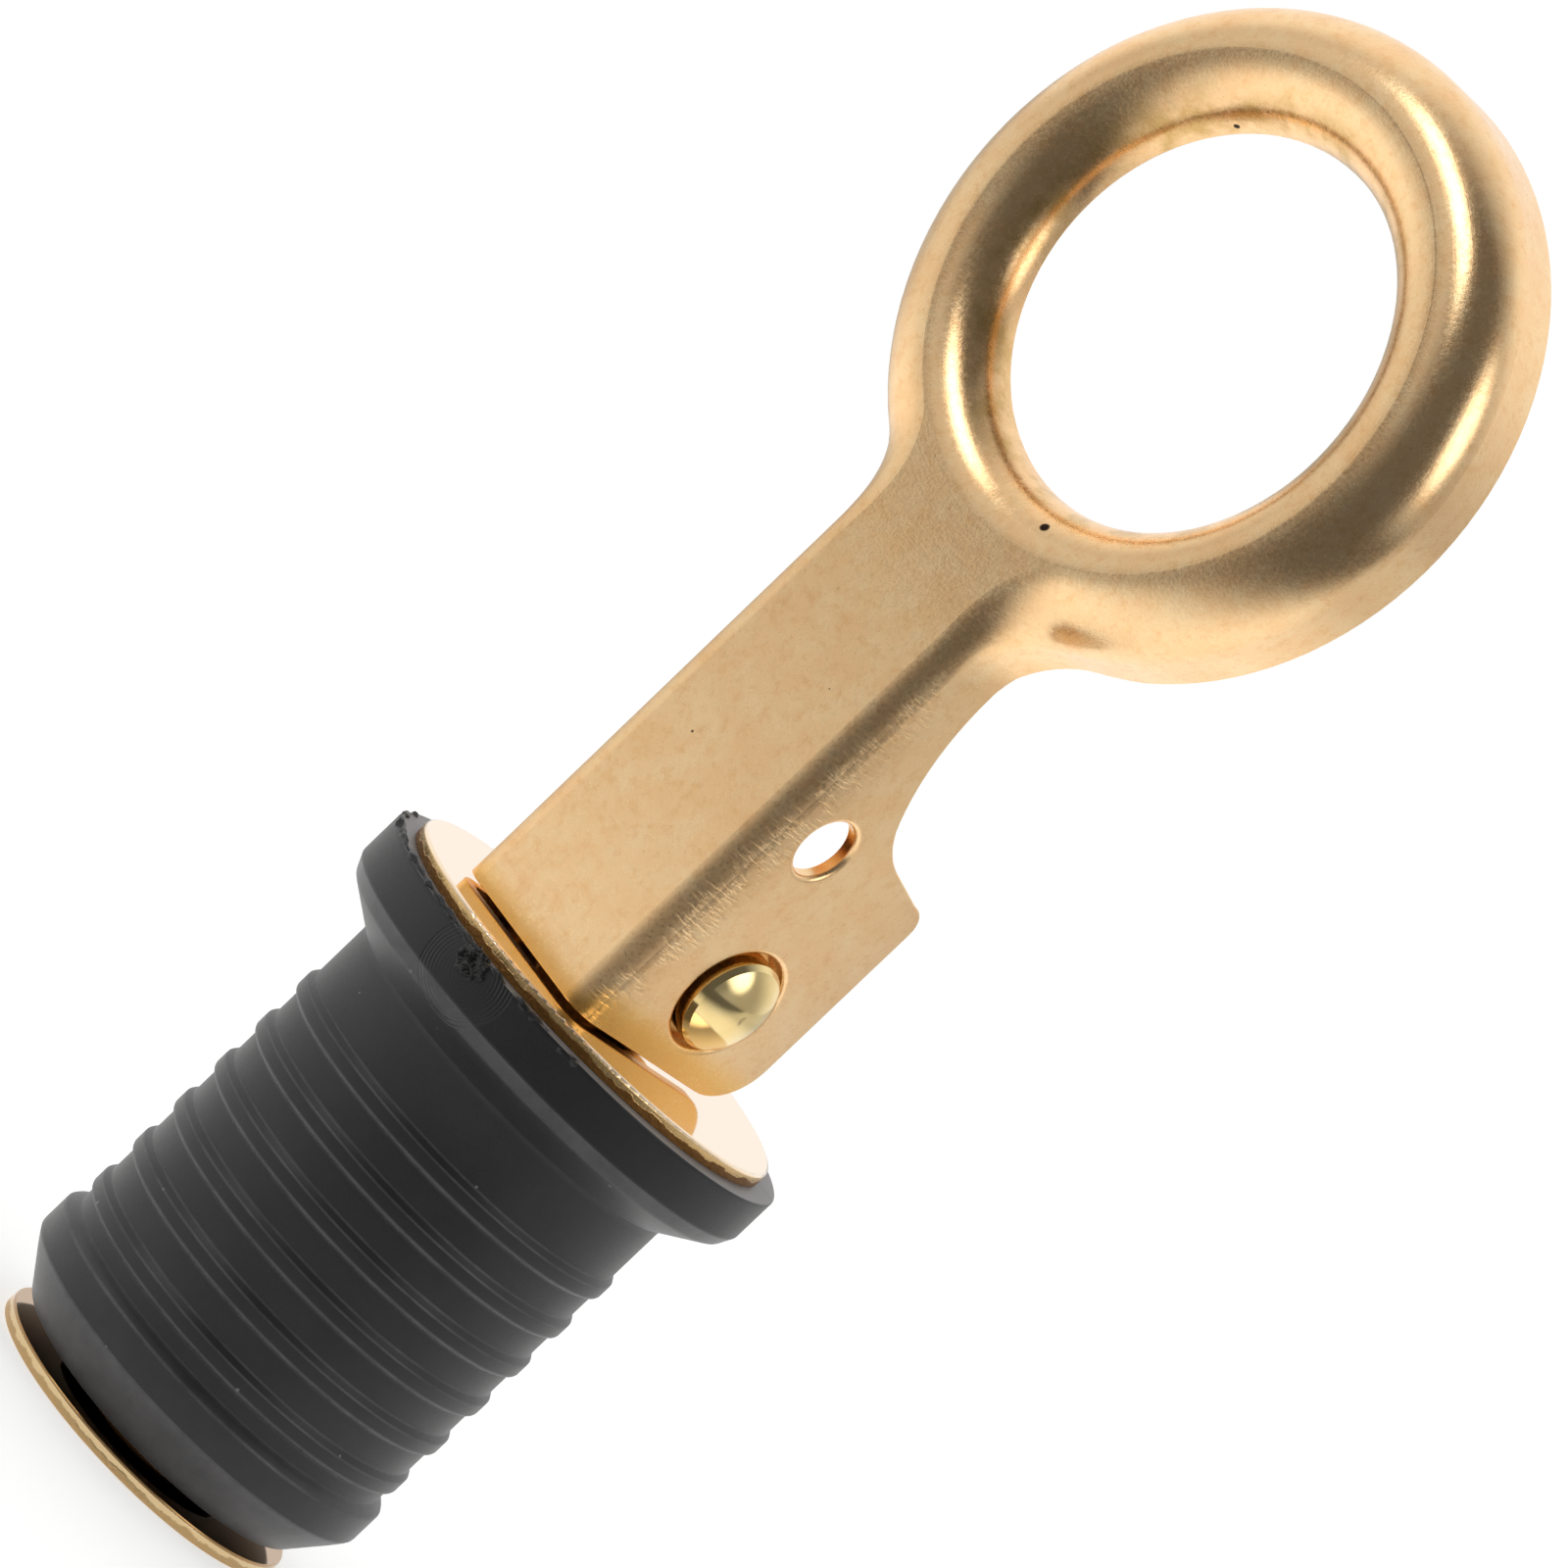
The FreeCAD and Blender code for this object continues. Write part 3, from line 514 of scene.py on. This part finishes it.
def mouldedRubber():
    look = rubberLook
    material, tree = startMaterial("mouldedRubber")[:2]
    rest = addNode(tree, "ShaderNodeAttribute", {"attribute_name": "restPlace"}).outputs["Vector"]
    wearAndHighlight = addNode(tree, "ShaderNodeAttribute", {"attribute_name": "wearAndHighlight"}).outputs["Fac"]
    smudge = addNode(tree, "ShaderNodeTexNoise", None,
                     {"Vector": rest, "Scale": 1 / look["smudgeMm"], "Detail": 5.0, "Roughness": 0.6}).outputs[0]
    patch = addNode(tree, "ShaderNodeTexNoise", None,
                    {"Vector": rest, "Scale": 1 / look["patchMm"], "Detail": 4.0, "Roughness": 0.6}).outputs[0]
    share = addNode(tree, "ShaderNodeMapRange", None, {"Value": smudge, **look["smudgeFade"]})
    colour = addNode(tree, "ShaderNodeMix", {"data_type": "RGBA"},
                     {0: share.outputs[0], 6: linearColour(look["colour"]),
                      7: linearColour(look["dusty"])}).outputs[2]
    # a painted highlight with some rubbed wear greys the edges, broken up in patches
    wearAndHighlightPart = addNode(tree, "ShaderNodeMapRange", None, {"Value": patch, **look["wearAndHighlightFade"]})
    wearAndHighlightShare = addNode(tree, "ShaderNodeMath", {"operation": "MULTIPLY"},
                        {0: wearAndHighlight, 1: wearAndHighlightPart.outputs[0]}).outputs[0]
    colour = addNode(tree, "ShaderNodeMix", {"data_type": "RGBA"},
                     {0: wearAndHighlightShare, 6: colour, 7: linearColour(look["wearAndHighlight"])}).outputs[2]
    torn = addNode(tree, "ShaderNodeAttribute", {"attribute_name": "torn"}).outputs["Fac"]
    colour = addNode(tree, "ShaderNodeMix", {"data_type": "RGBA"},
                     {0: torn, 6: colour, 7: linearColour(look["torn"])}).outputs[2]
    # pale grains of dust
    cells = addNode(tree, "ShaderNodeTexVoronoi", None,
                    {"Vector": rest, "Scale": 1 / look["dustMm"], "Randomness": 1.0})
    grain = addNode(tree, "ShaderNodeMapRange", None, {"Value": cells.outputs["Distance"], **look["dustFade"]})
    colour = addNode(tree, "ShaderNodeMix", {"data_type": "RGBA"},
                     {0: grain.outputs[0], 6: colour, 7: linearColour(look["dust"])}).outputs[2]
    # turned rings of the gate insert
    away = addNode(tree, "ShaderNodeVectorMath", {"operation": "DISTANCE"},
                   {0: rest, 1: look["gate"]}).outputs["Value"]
    turns = addNode(tree, "ShaderNodeMath", {"operation": "MULTIPLY"},
                    {0: away, 1: 2 * math.pi / look["gateRingMm"]})
    wave = addNode(tree, "ShaderNodeMath", {"operation": "SINE"}, {0: turns.outputs[0]})
    within = addNode(tree, "ShaderNodeMapRange", None,
                     {"Value": away, "From Min": look["gateRadius"],
                      "From Max": look["gateRadius"] - 0.1}).outputs[0]
    strong = addNode(tree, "ShaderNodeMapRange", None, {"Value": away, **look["ringFade"]}).outputs[0]
    broken = addNode(tree, "ShaderNodeMapRange", None, {"Value": patch, **look["ringBreaks"]}).outputs[0]
    ringShare = addNode(tree, "ShaderNodeMath", {"operation": "MULTIPLY"}, {0: within, 1: strong}).outputs[0]
    ringShare = addNode(tree, "ShaderNodeMath", {"operation": "MULTIPLY"}, {0: ringShare, 1: broken}).outputs[0]
    rings = addNode(tree, "ShaderNodeMath", {"operation": "MULTIPLY"}, {0: wave.outputs[0], 1: ringShare})
    fine = addNode(tree, "ShaderNodeTexNoise", None,
                   {"Vector": rest, "Scale": 1 / look["fineMm"], "Detail": 2.0})
    relief = addNode(tree, "ShaderNodeMath", {"operation": "MULTIPLY_ADD"},
                     {0: rings.outputs[0], 1: look["ringDepth"], 2: fine.outputs[0]})
    relief = addNode(tree, "ShaderNodeMath", {"operation": "MULTIPLY_ADD"},
                     {0: within, 1: -look["gateDepth"], 2: relief.outputs[0]})
    rough = addNode(tree, "ShaderNodeMapRange", None,
                    {"Value": fine.outputs[0], "To Min": look["roughness"] - 0.06,
                     "To Max": look["roughness"] + 0.1})
    bump = addNode(tree, "ShaderNodeBump", None,
                   {"Strength": look["bumpStrength"], "Distance": look["bumpMm"] * mm,
                    "Height": relief.outputs[0]})
    shader = addNode(tree, "ShaderNodeBsdfPrincipled", None,
                     {"Base Color": colour, "Roughness": rough.outputs[0], "IOR": 1.5,
                      "Specular IOR Level": look["specular"], "Sheen Weight": look["sheen"],
                      "Sheen Roughness": 0.3, "Normal": bump.outputs[0]})
    addNode(tree, "ShaderNodeOutputMaterial", None, {"Surface": shader.outputs[0]})
    return material


# rubber plug, lathed ring by ring from its bore: (radius, depth below its flat top, how much painted
# highlight and rubbed wear pale it) in mm
rubberPlan = {
    "pressLimit": 5.0,  # the far end of disc_press
    "around": 288,
    "bore": 4.2,
    "recess": (6.2, 4.6),
    "top": [(9.0, 0.0, 0.0), (13.6, 0.0, 0.0), (14.0, 0.0, 1.4)],
    "corner": (15.4, 0.12),
    "cornerWearAndHighlight": [1.4, 1.4, 0.0, 0.0, 0.0],
    "side": [(15.4, 0.3, 0.0), (15.4, 1.5, 0.0), (15.4, 2.7, 0.0), (15.4, 2.82, 0.1), (15.385, 2.91, 0.6),
             (15.34, 3.0, 0.5)],
    "cone": [(15.2, 3.28, 0.45), (15.02, 3.66, 0.4), (14.93, 3.8, 0.3), (14.78, 3.92, 0.1), (14.0, 4.46, 0.0),
             (12.48, 5.52, 0.0), (12.22, 5.7, 0.1), (12.15, 6.1, 0.0)],
    "neck": 12.15,
    "ribFirst": 9.75,
    "ribPitch": 3.3,
    "ribCount": 6,
    "rib": [(0.0, -0.12, 0.0), (0.0, 0.0, 0.5), (0.05, 0.1, 0.05), (0.25, 0.35, 0.05), (0.315, 0.45, 0.6),
            (0.32, 0.56, 0.0), (0.32, 1.16, 0.0), (0.32, 1.28, 0.55), (0.29, 1.36, 0.75), (0.1, 1.47, 0.65),
            (0.0, 1.53, 0.3), (0.0, 1.66, 0.0)],
    "lip": [(12.15, 28.6, 0.0), (12.15, 28.76, 0.25), (12.32, 28.94, 0.1), (12.72, 29.24, 0.2),
            (12.85, 29.4, 0.7), (12.85, 29.54, 0.1), (12.85, 31.22, 0.1), (12.84, 31.33, 0.7), (12.74, 31.5, 0.75)],
    "tip": [(12.32, 32.1, 0.5), (11.48, 33.2, 0.4), (10.65, 34.3, 0.5), (10.5, 34.42, 0.3), (10.3, 34.5, 0.0)],
    "recessEdge": 0.2,
    "sharpest": 40,
}
# stub left where the gate was torn off, on the upper corner of the flange
stubPlan = {"bearing": 12.4, "reach": 15.34, "depth": 0.62, "half": (1.08, 0.42, 0.92), "rough": 1.0, "noiseMm": 0.5}
# thin flash where the mould parted, torn ragged along the upper edge of the flange
flashPlan = {"from": -84, "to": 44, "radius": 15.2, "thick": 0.16, "lift": 0.08, "lean": 0.042, "rough": 0.8,
             "noiseMm": 0.7, "around": 900}


def rubberProfile():
    plan = rubberPlan
    rings = [(plan["bore"], 0.0, 0.0)] + plan["top"]
    wide, corner = plan["corner"]
    steps = len(plan["cornerWearAndHighlight"]) - 1
    for step, wearAndHighlightPart in enumerate(plan["cornerWearAndHighlight"]):
        turn = math.radians(step * 90 / steps)
        rings.append((wide - corner + corner * math.sin(turn), corner - corner * math.cos(turn), wearAndHighlightPart))
    rings += plan["side"] + plan["cone"]
    for turn in range(plan["ribCount"]):
        start = plan["ribFirst"] + turn * plan["ribPitch"]
        rings += [(plan["neck"] + rise, start + along, wearAndHighlightPart) for rise, along, wearAndHighlightPart in plan["rib"]]
    rings += plan["lip"] + plan["tip"]
    recess, deep = plan["recess"]
    length, edge = rubberTop - rubberBottom, plan["recessEdge"]
    inside = [(recess + edge, length), (recess, length - edge), (recess, length - deep), (plan["bore"], length - deep)]
    return rings + [(radius, depth, 0.0) for radius, depth in inside]


def roughen(piece, strength, noise):
    # crumbles a torn face with cloud noise, both in mm
    clouds = bpy.data.textures.new(piece.name + "Tear", "CLOUDS")
    clouds.noise_scale = noise * mm
    clouds.noise_depth = 3
    tear = piece.modifiers.new("tear", "DISPLACE")
    tear.texture = clouds
    tear.texture_coords = "LOCAL"
    tear.strength = strength * mm
    bpy.ops.object.modifier_apply(modifier="tear")


def buildStub():
    plan = stubPlan
    pickNothing()
    bpy.ops.mesh.primitive_ico_sphere_add(subdivisions=5, radius=1.0)
    stub = nameNew("gateStub")
    side = math.radians(plan["bearing"])
    stub.scale = [half * mm for half in plan["half"]]
    stub.rotation_euler = (0, 0, side)
    stub.location = Vector((math.sin(side), -math.cos(side), 0)) * plan["reach"] * mm
    stub.location.z = (rubberTop - plan["depth"]) * mm
    bpy.ops.object.transform_apply(location=True, rotation=True, scale=True)
    roughen(stub, plan["rough"], plan["noiseMm"])
    return stub


def buildFlash():
    plan = flashPlan
    pickNothing()
    bpy.ops.mesh.primitive_torus_add(major_radius=plan["radius"] * mm, minor_radius=plan["thick"] * mm,
                                     major_segments=plan["around"], minor_segments=10)
    flash = nameNew("tornFlash")
    # leans so that both ends sink into the rubber
    middle = math.radians((plan["from"] + plan["to"]) / 2)
    leaned = Vector((-plan["lean"] * math.sin(middle), plan["lean"] * math.cos(middle), 1))
    flash.rotation_euler = Vector((0, 0, 1)).rotation_difference(leaned).to_euler()
    flash.location.z = (rubberTop + plan["lift"] - plan["lean"] * plan["radius"]) * mm
    bpy.ops.object.transform_apply(location=True, rotation=True, scale=True)
    bpy.ops.object.mode_set(mode="EDIT")
    bpy.ops.mesh.select_mode(type="FACE")
    bpy.ops.mesh.select_all(action="DESELECT")
    bpy.ops.object.mode_set(mode="OBJECT")
    for face in flash.data.polygons:
        bearing = math.degrees(math.atan2(face.center.x, -face.center.y))
        face.select = not plan["from"] < bearing < plan["to"]
    bpy.ops.object.mode_set(mode="EDIT")
    bpy.ops.mesh.delete(type="FACE")
    bpy.ops.mesh.select_mode(type="VERT")
    bpy.ops.mesh.select_all(action="SELECT")
    bpy.ops.mesh.fill_holes(sides=0)
    bpy.ops.mesh.select_all(action="SELECT")
    bpy.ops.mesh.normals_make_consistent(inside=False)
    bpy.ops.object.mode_set(mode="OBJECT")
    roughen(flash, plan["rough"], plan["noiseMm"])
    return flash


def markRubber(piece, rings, torn):
    # how much painted highlight and rubbed wear pale each point, how torn it is, and where it sits before
    # the plug is squeezed
    layers = piece.data.attributes
    wearAndHighlightLayer = layers.new("wearAndHighlight", "FLOAT", "POINT")
    tornLayer = layers.new("torn", "FLOAT", "POINT")
    restLayer = layers.new("restPlace", "FLOAT_VECTOR", "POINT")
    for vertex in piece.data.vertices:
        place = vertex.co / mm
        radius, depth = math.hypot(place.x, place.y), rubberTop - place.z
        nearest = min(rings, key=lambda ring: (ring[0] - radius) ** 2 + (ring[1] - depth) ** 2)
        wearAndHighlightLayer.data[vertex.index].value = 0.0 if torn else nearest[2]
        tornLayer.data[vertex.index].value = torn
        restLayer.data[vertex.index].vector = place


def buildRubber():
    plan = rubberPlan
    rings = rubberProfile()
    pickNothing()
    radius, depth = rings[0][:2]
    bpy.ops.mesh.primitive_circle_add(vertices=plan["around"], radius=radius * mm,
                                      location=(0, 0, (rubberTop - depth) * mm))
    rubber = nameNew("rubberPlug")
    bpy.ops.object.transform_apply(location=True, rotation=True, scale=True)
    bpy.ops.object.mode_set(mode="EDIT")
    bpy.ops.mesh.select_all(action="SELECT")
    for nextRadius, nextDepth, wearAndHighlightPart in rings[1:]:
        grow = nextRadius / radius
        bpy.ops.mesh.extrude_edges_move(TRANSFORM_OT_translate={"value": (0, 0, (depth - nextDepth) * mm)})
        bpy.ops.transform.resize(value=(grow, grow, 1), center_override=(0, 0, 0))
        radius, depth = nextRadius, nextDepth
    bpy.ops.mesh.extrude_edges_move(TRANSFORM_OT_translate={"value": (0, 0, (depth - rings[0][1]) * mm)})
    bpy.ops.mesh.select_all(action="SELECT")
    bpy.ops.mesh.remove_doubles(threshold=1e-6)
    bpy.ops.mesh.normals_make_consistent(inside=False)
    bpy.ops.object.mode_set(mode="OBJECT")
    stub, flash = buildStub(), buildFlash()
    markRubber(rubber, rings, 0.0)
    markRubber(stub, rings, 1.0)
    markRubber(flash, rings, 1.0)
    pickNothing()
    for piece in (stub, flash, rubber):
        piece.select_set(True)
    bpy.context.view_layer.objects.active = rubber
    bpy.ops.object.join()
    bpy.ops.object.shade_smooth_by_angle(angle=math.radians(plan["sharpest"]))
    dress(rubber, mouldedRubber())
    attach(rubber, "plug")
    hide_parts("rubber_plug")
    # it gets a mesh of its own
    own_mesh(rubber)


# camera at the front right and a little above, rolled so that the plug lies across the picture, places in mm
cameraPlan = {
    "place": (298.77, -411.67, 121.25),
    "aim": (-1.18, -0.86, 53.45),
    "roll": 0.8075,
    "lens": 206.76,
    "sensor": 36,
    "clip": (0.01, 100),
}


def setCamera():
    plan = cameraPlan
    data = bpy.data.cameras.new("camera")
    camera = bpy.data.objects.new("camera", data)
    scene.collection.objects.link(camera)
    place = Vector(plan["place"]) * mm
    aim = Vector(plan["aim"]) * mm
    turn = (aim - place).to_track_quat("-Z", "Y") @ Quaternion((0, 0, 1), plan["roll"])
    camera.location = place
    camera.rotation_mode = "QUATERNION"
    camera.rotation_quaternion = turn
    data.sensor_width = plan["sensor"]
    data.lens = plan["lens"]
    data.clip_start, data.clip_end = plan["clip"]
    scene.camera = camera


# soft box: bearing in degrees from straight in front, height angle, distance and size in m, and its brightness
lampPlan = {
    "frontBox": {"bearing": -21, "height": 36, "away": 0.8, "size": (0.44, 0.25), "glow": 3.4},
}
lampAim = (0, 0, 0.06)
# how bright the room is all round, and its paler and darker sides, each full within its inner angle
roomPlan = {
    "walls": 0.44,
    "darkest": 0.13,
    "paleSide": {"bearing": -138, "height": 26, "inner": 42, "outer": 84, "gain": 0.60},
    "paleRight": {"bearing": 98, "height": 31, "inner": 4, "outer": 23, "gain": 2.2},
    "paleFront": {"bearing": -40, "height": 5, "inner": 8, "outer": 28, "gain": 0.26},
    "darkSide": {"bearing": 38, "height": 24, "inner": 26, "outer": 58, "gain": -0.34},
    "darkTop": {"bearing": 5, "height": 84, "inner": 14, "outer": 46, "gain": -0.24},
}
# lobes: bearing, start and end in m, and what each adds to what the brass mirrors
floorPlan = {
    "size": 60,
    "colour": "#E4E4E2",
    "cameraGlow": 0.5,
    "nearGlow": 0.62,
    "near": 0.07,
    "far": 0.32,
    "lobes": [(-18, 0.03, 0.20, 0.18), (146, 0.12, 0.40, 0.15)],
    "shadeBearing": 44,
    "shadeFrom": 0.03,
    "shadeTo": 0.20,
    "shadeGlow": 0.12,
}


def heading(bearing, height):
    side, rise = math.radians(bearing), math.radians(height)
    return Vector((math.sin(side) * math.cos(rise), -math.cos(side) * math.cos(rise), math.sin(rise)))


def addLamps():
    middle = Vector(lampAim)
    for name, plan in lampPlan.items():
        data = bpy.data.lights.new(name, "AREA")
        data.shape = "RECTANGLE"
        data.size, data.size_y = plan["size"]
        data.energy = plan["glow"] * math.pi * data.size * data.size_y
        lamp = bpy.data.objects.new(name, data)
        scene.collection.objects.link(lamp)
        way = heading(plan["bearing"], plan["height"])
        lamp.location = middle + way * plan["away"]
        lamp.rotation_mode = "QUATERNION"
        lamp.rotation_quaternion = (-way).to_track_quat("-Z", "Y")
        lamp.visible_camera = False


def lightRoom():
    # a grey room that the brass mirrors, bright on the right, paler behind on the left and a little at the front
    # left, darker at the front right and above, and plain white to the camera
    world = bpy.data.worlds.new("studio")
    scene.world = world
    world.use_nodes = True
    tree = world.node_tree
    tree.nodes.clear()
    way = addNode(tree, "ShaderNodeTexCoord").outputs["Generated"]
    level = roomPlan["walls"]
    for name in ("paleSide", "paleRight", "paleFront", "darkSide", "darkTop"):
        plan = roomPlan[name]
        facing = addNode(tree, "ShaderNodeVectorMath", {"operation": "DOT_PRODUCT"},
                         {0: way, 1: heading(plan["bearing"], plan["height"])})
        share = addNode(tree, "ShaderNodeMapRange", {"interpolation_type": "SMOOTHSTEP"},
                        {"Value": facing.outputs["Value"], "From Min": math.cos(math.radians(plan["outer"])),
                         "From Max": math.cos(math.radians(plan["inner"])), "To Max": plan["gain"]})
        level = addNode(tree, "ShaderNodeMath", {"operation": "ADD"}, {0: level, 1: share.outputs[0]}).outputs[0]
    level = addNode(tree, "ShaderNodeMath", {"operation": "MAXIMUM"},
                    {0: level, 1: roomPlan["darkest"]}).outputs[0]
    path = addNode(tree, "ShaderNodeLightPath")
    strength = addNode(tree, "ShaderNodeMix", {"data_type": "FLOAT"},
                       {0: path.outputs["Is Camera Ray"], 2: level, 3: 1.0})
    sky = addNode(tree, "ShaderNodeBackground", None, {"Color": (1, 1, 1, 1), "Strength": strength.outputs[0]})
    addNode(tree, "ShaderNodeOutputWorld", None, {"Surface": sky.outputs[0]})


def layFloor():
    # pale board, white to the camera; what the brass mirrors of it is bright close by and shaded at the front right
    plan = floorPlan
    pickNothing()
    bpy.ops.mesh.primitive_plane_add(size=plan["size"])
    floor = nameNew("floor")
    material = bpy.data.materials.new("paleFloor")
    material.use_nodes = True
    tree = material.node_tree
    tree.nodes.clear()
    path = addNode(tree, "ShaderNodeLightPath")
    mirrored = addNode(tree, "ShaderNodeMath", {"operation": "MAXIMUM"},
                       {0: path.outputs["Is Glossy Ray"], 1: path.outputs["Is Transmission Ray"]})
    place = addNode(tree, "ShaderNodeTexCoord").outputs["Object"]
    reach = addNode(tree, "ShaderNodeVectorMath", {"operation": "LENGTH"}, {0: place})
    near = addNode(tree, "ShaderNodeMapRange", {"interpolation_type": "SMOOTHSTEP"},
                   {"Value": reach.outputs["Value"], "From Min": plan["near"], "From Max": plan["far"],
                    "To Min": plan["nearGlow"], "To Max": 0.0})
    spread = near.outputs[0]
    for bearing, start, end, gain in plan["lobes"]:
        out = addNode(tree, "ShaderNodeVectorMath", {"operation": "DOT_PRODUCT"},
                      {0: place, 1: heading(bearing, 0)})
        lobe = addNode(tree, "ShaderNodeMapRange", {"interpolation_type": "SMOOTHSTEP"},
                       {"Value": out.outputs["Value"], "From Min": start, "From Max": end, "To Max": gain})
        spread = addNode(tree, "ShaderNodeMath", {"operation": "ADD"},
                         {0: spread, 1: lobe.outputs[0]}).outputs[0]
    nearShine = addNode(tree, "ShaderNodeMath", {"operation": "MULTIPLY"}, {0: spread, 1: mirrored.outputs[0]})
    glow = addNode(tree, "ShaderNodeMath", {"operation": "MULTIPLY_ADD"},
                   {0: path.outputs["Is Camera Ray"], 1: plan["cameraGlow"], 2: nearShine.outputs[0]})
    diffuse = addNode(tree, "ShaderNodeBsdfDiffuse", None, {"Color": linearColour(plan["colour"])})
    shine = addNode(tree, "ShaderNodeEmission", None, {"Color": (1, 1, 1, 1), "Strength": glow.outputs[0]})
    pale = addNode(tree, "ShaderNodeAddShader", None, {0: diffuse.outputs[0], 1: shine.outputs[0]})
    towards = addNode(tree, "ShaderNodeVectorMath", {"operation": "DOT_PRODUCT"},
                      {0: place, 1: heading(plan["shadeBearing"], 0)})
    shaded = addNode(tree, "ShaderNodeMapRange", {"interpolation_type": "SMOOTHSTEP"},
                     {"Value": towards.outputs["Value"], "From Min": plan["shadeFrom"],
                      "From Max": plan["shadeTo"]})
    shadeShare = addNode(tree, "ShaderNodeMath", {"operation": "MULTIPLY"},
                         {0: shaded.outputs[0], 1: mirrored.outputs[0]})
    dim = addNode(tree, "ShaderNodeEmission", None, {"Color": (1, 1, 1, 1), "Strength": plan["shadeGlow"]})
    both = addNode(tree, "ShaderNodeMixShader", None,
                   {0: shadeShare.outputs[0], 1: pale.outputs[0], 2: dim.outputs[0]})
    addNode(tree, "ShaderNodeOutputMaterial", None, {"Surface": both.outputs[0]})
    dress(floor, material)


scene.view_settings.view_transform = "Standard"
setCamera()
lightRoom()
addLamps()
layFloor()
print("stage and camera set")
buildRubber()
print("rubber plug lathed")
for node, material in (("handle", pressedBrass()), ("pivot_pin", buffedRivet()), ("draw_rod", turnedBar()),
                       ("top_washer", blankedWasher("upperWasher", washerWide, washerTop, washerLook["upper"])),
                       ("bottom_washer", blankedWasher("lowerWasher", discWide, discTop, washerLook["lower"]))):
    dress(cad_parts[node], material)
print("brass parts dressed")
